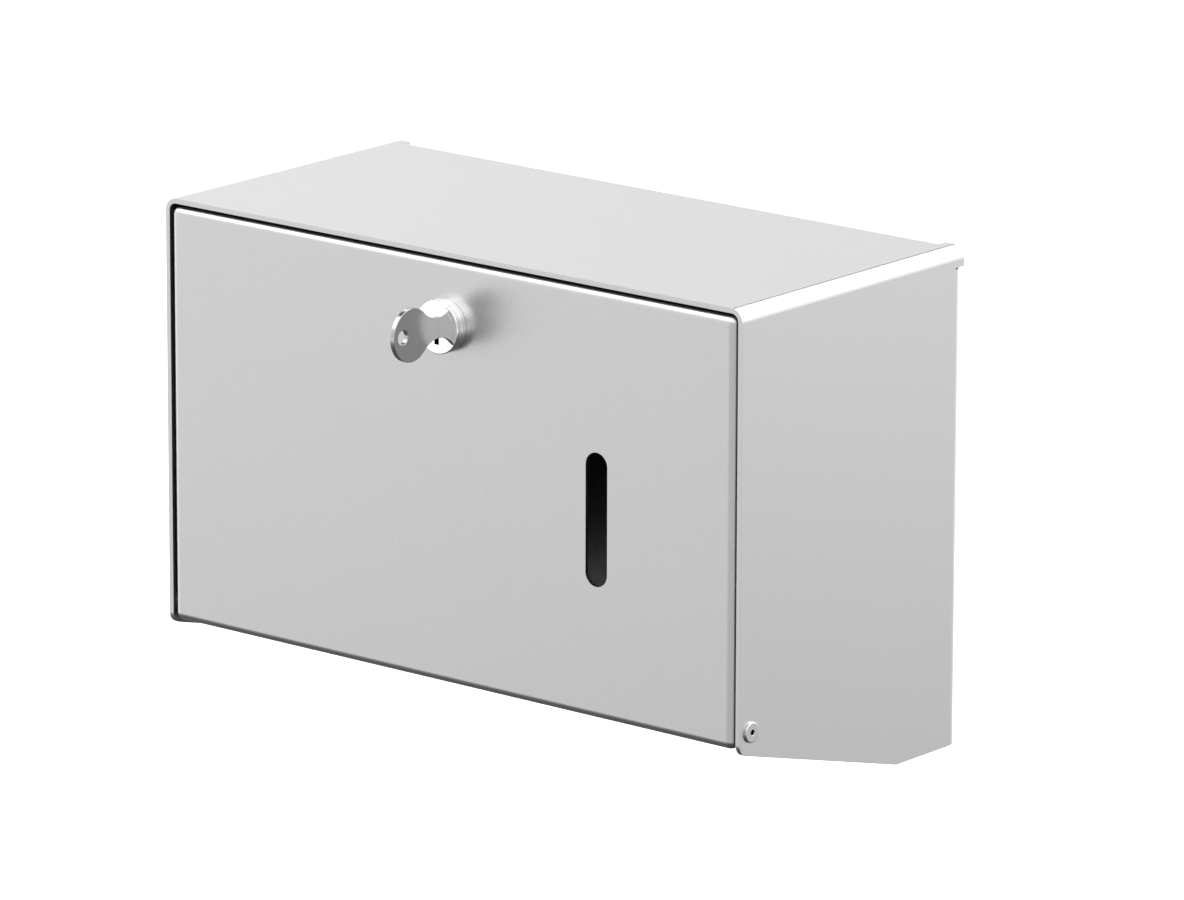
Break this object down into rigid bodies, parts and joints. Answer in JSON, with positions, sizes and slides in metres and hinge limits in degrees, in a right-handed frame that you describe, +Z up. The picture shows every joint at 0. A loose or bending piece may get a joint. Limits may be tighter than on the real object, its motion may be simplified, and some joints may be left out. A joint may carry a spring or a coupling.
{
  "type": "paper towel dispenser",
  "caption": "Wall-mounted stainless box for folded paper towels, with a sloping open bottom, a hinged front door, a sight slot, and a cam lock with its key.",
  "frame": {"origin": "middle of the four wall screw holes, on the plane of the wall", "axes": "+X to the right as seen from the front, +Y into the wall, +Z up; the door faces -Y"},
  "size_m": [0.2768, 0.1598, 0.1889],
  "materials": {
    "satin_steel": "satin stainless steel sheet",
    "rivet_steel": "bright stainless rivet",
    "lock_chrome": "polished",
    "zinc_steel": "zinc plated",
    "key_steel": "nickel plated, smooth",
    "wafer_brass": "stamped",
    "spacer_nylon": "moulded nylon",
    "buffer_rubber": "matt"
  },
  "bodies": {
    "case": {"hood": "satin_steel", "back_plate": "satin_steel", "bottom_tray": "satin_steel", "tray_rivets": "rivet_steel", "catch_bracket": "satin_steel", "buffer_left": "buffer_rubber", "buffer_right": "buffer_rubber", "hinge_rivet_left": "rivet_steel", "hinge_rivet_right": "rivet_steel", "hinge_spacer_left": "spacer_nylon", "hinge_spacer_right": "spacer_nylon"},
    "door": {"front_door": "satin_steel", "lock_housing": "lock_chrome", "lock_washer": "zinc_steel", "lock_nut": "zinc_steel"},
    "lock": {"lock_plug": "lock_chrome", "lock_wafers": "wafer_brass", "lock_cam": "zinc_steel", "cam_washer": "zinc_steel", "cam_nut": "zinc_steel", "key": "key_steel"}
  },
  "joints": [
    {"name": "door_hinge", "type": "hinge", "parent": "case", "child": "door", "pos_m": [0, -0.1232, -0.06671], "axis": [1, 0, 0], "range_deg": [0, 160]},
    {"name": "lock_turn", "type": "hinge", "parent": "door", "child": "lock", "pos_m": [0, -0.135, 0.0628], "axis": [0, 1, 0], "range_deg": [0, 90]}
  ]
}
